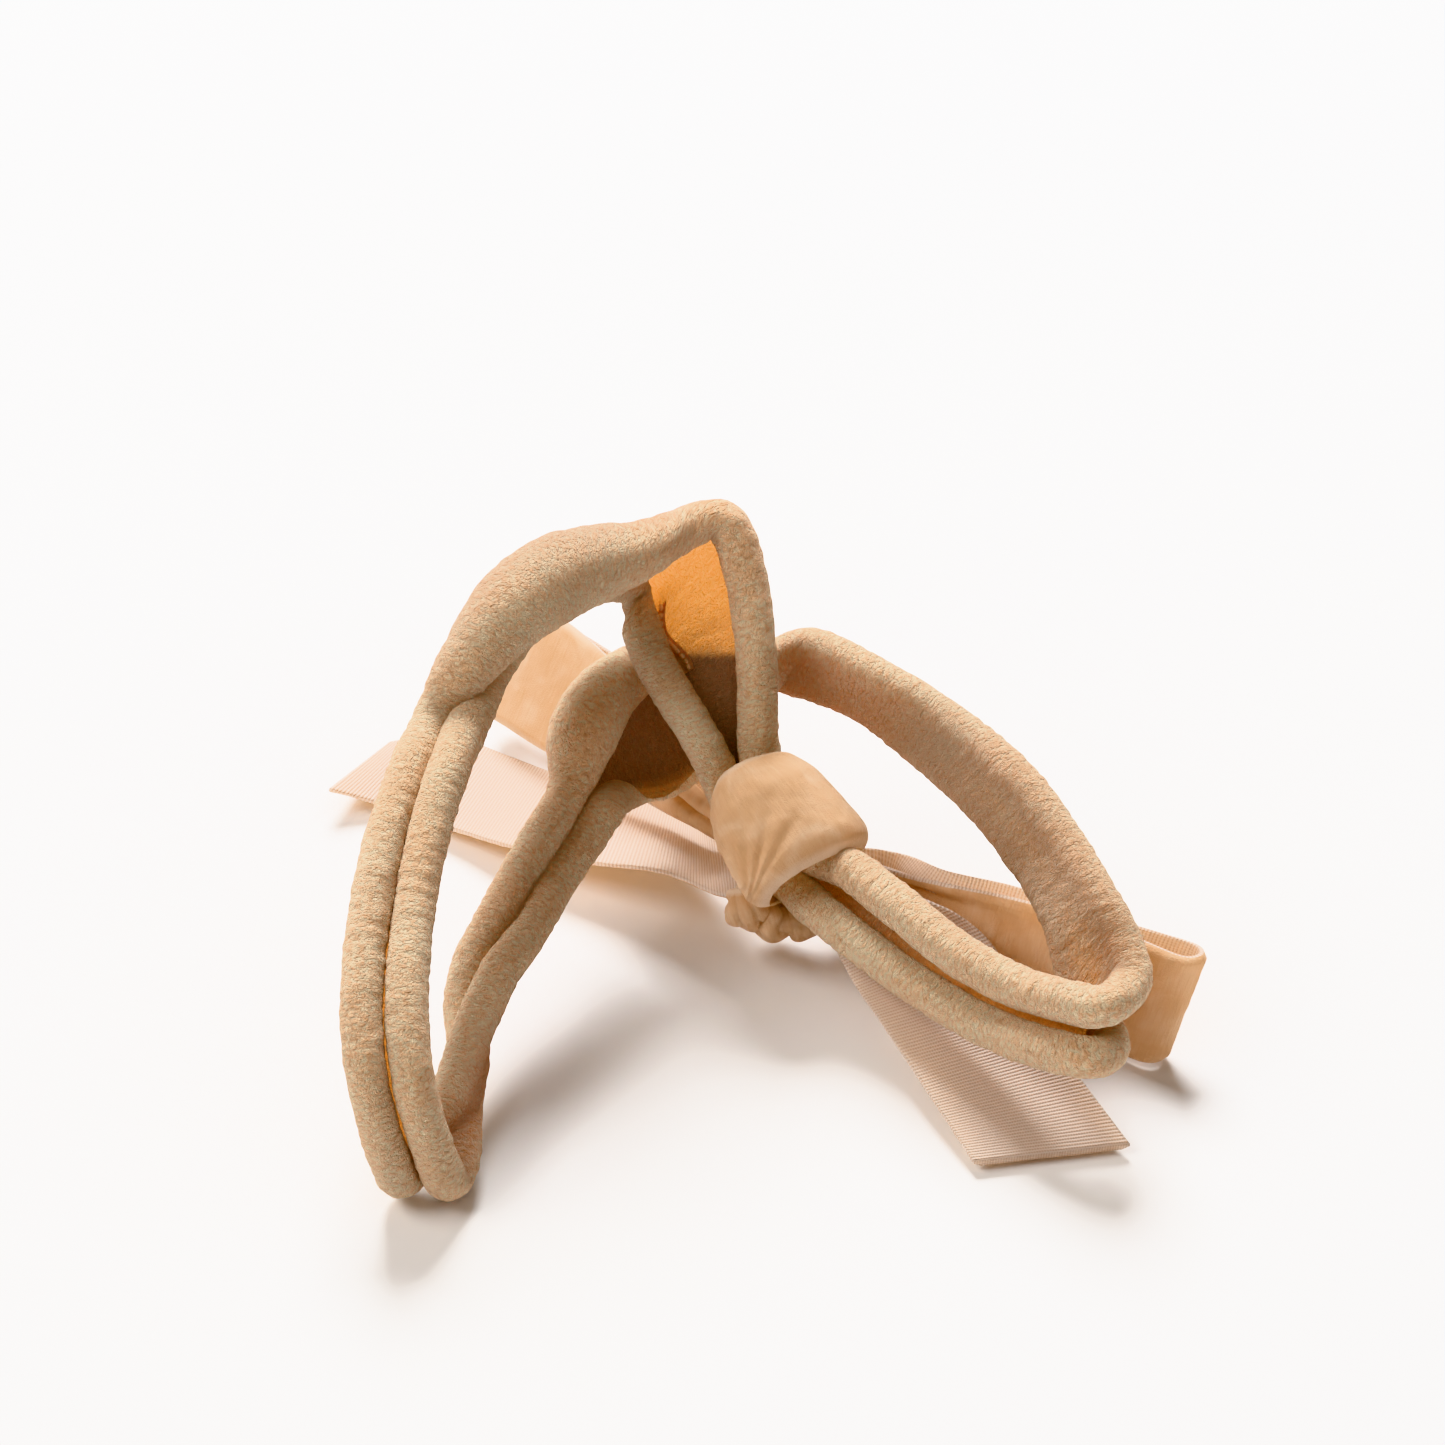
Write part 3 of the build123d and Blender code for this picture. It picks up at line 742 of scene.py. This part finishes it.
def make_bunch():
    """The crumpled folds of ribbon under the knot."""
    pieces, faces, lies, start = [], [], [], 0
    folds = (
        ((-0.9, -1.9, 5.3), (2.2, 1.9, 2.0), 0.4, 31),
        ((0.9, -2.7, 4.5), (1.8, 1.5, 1.6), -0.5, 32),
        ((2.9, -2.3, 4.3), (2.0, 1.6, 1.7), 0.9, 33),
        ((1.0, 0.8, 4.2), (3.6, 2.8, 2.6), 0.0, 34),
    )
    rings, spokes = 44, 72
    for centre, size, turn, seed in folds:
        lift = np.linspace(-0.5, 0.5, rings)[:, None] * math.pi
        spin = np.linspace(0, 2 * math.pi, spokes)[None, :] + turn
        ball = np.stack([np.cos(lift) * np.cos(spin), np.cos(lift) * np.sin(spin),
                         np.broadcast_to(np.sin(lift), (rings, spokes))], 2)
        lump = ball * np.array(size)
        crease = 1 - np.abs(wobble(lump * (1, 1, 0.6), 1.7, seed)) * 2
        push = 1 + 0.16 * wobble(lump, 1.5, seed + 1) - 0.2 * np.clip(crease, 0, 1) ** 3
        lump = lump * push[..., None] + np.array(centre)
        lump[..., 2] = np.maximum(lump[..., 2], 0.15)
        pieces.append(lump.reshape(-1, 3))
        faces.append(grid_faces(rings, spokes, start)[:, ::-1])
        lies.append((lump * (1, 1, 0) + lump[..., 2:3] * (0.3, 1, 0)).reshape(-1, 3))
        start += rings * spokes
    return make_mesh("bunched_ribbon", np.concatenate(pieces), np.concatenate(faces), [VELVET],
                     lie=np.concatenate(lies))


for piece, node in ((make_knot(), "bow_knot"), (make_bunch(), "bow_back")):
    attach(piece, "root")
    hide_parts(node)

# ---------------------------------------------------------------- floor, light, camera
scene = bpy.context.scene
bpy.ops.mesh.primitive_plane_add(size=4, location=(0, 0, 0))
floor = bpy.context.object
floor.name = "floor"
paper, tree = new_material("paper")
mottle = add_node(tree, "ShaderNodeTexNoise", None, Scale=60.0, Detail=4.0).outputs["Fac"]
tone = ramp(tree, mottle, (0.3, (0.86, 0.86, 0.87)), (0.7, (0.9, 0.9, 0.905)))
sheet_shader = add_node(tree, "ShaderNodeBsdfPrincipled", None, Base_Color=tone, Roughness=0.9)
sheet_shader.inputs["Specular IOR Level"].default_value = 0.1
add_node(tree, "ShaderNodeOutputMaterial", None, Surface=sheet_shader.outputs[0])
floor.data.materials.append(paper)


def area_light(name, place, target, size, power, colour=(1, 1, 1)):
    data = bpy.data.lights.new(name, "AREA")
    data.shape, data.size, data.energy, data.color = "DISK", size, power, colour
    lamp = bpy.data.objects.new(name, data)
    lamp.location = place
    direction = np.array(target, float) - np.array(place, float)
    lamp.rotation_euler = Vector(direction).to_track_quat("-Z", "Y").to_euler()
    scene.collection.objects.link(lamp)


area_light("window", (-0.05, 0.6, 0.56), (0, 0, 0), 0.4, 17.5, (0.965, 0.985, 1))
area_light("side", (-0.5, -0.05, 0.55), (0, 0, 0), 0.4, 3.4, (1, 0.97, 0.93))
world = bpy.data.worlds.new("room")
scene.world = world
world.use_nodes = True
world.node_tree.nodes["Background"].inputs["Color"].default_value = (1, 0.83, 0.7, 1)
world.node_tree.nodes["Background"].inputs["Strength"].default_value = 0.32

camera_data = bpy.data.cameras.new("camera")
camera_data.lens = 129.5
camera_data.sensor_width = 36
camera = bpy.data.objects.new("camera", camera_data)
camera.location = (-0.003, -0.2924, 0.2671)
camera.rotation_euler = (math.radians(50), 0, 0)
scene.collection.objects.link(camera)
scene.camera = camera
scene.view_settings.view_transform = "Khronos PBR Neutral"
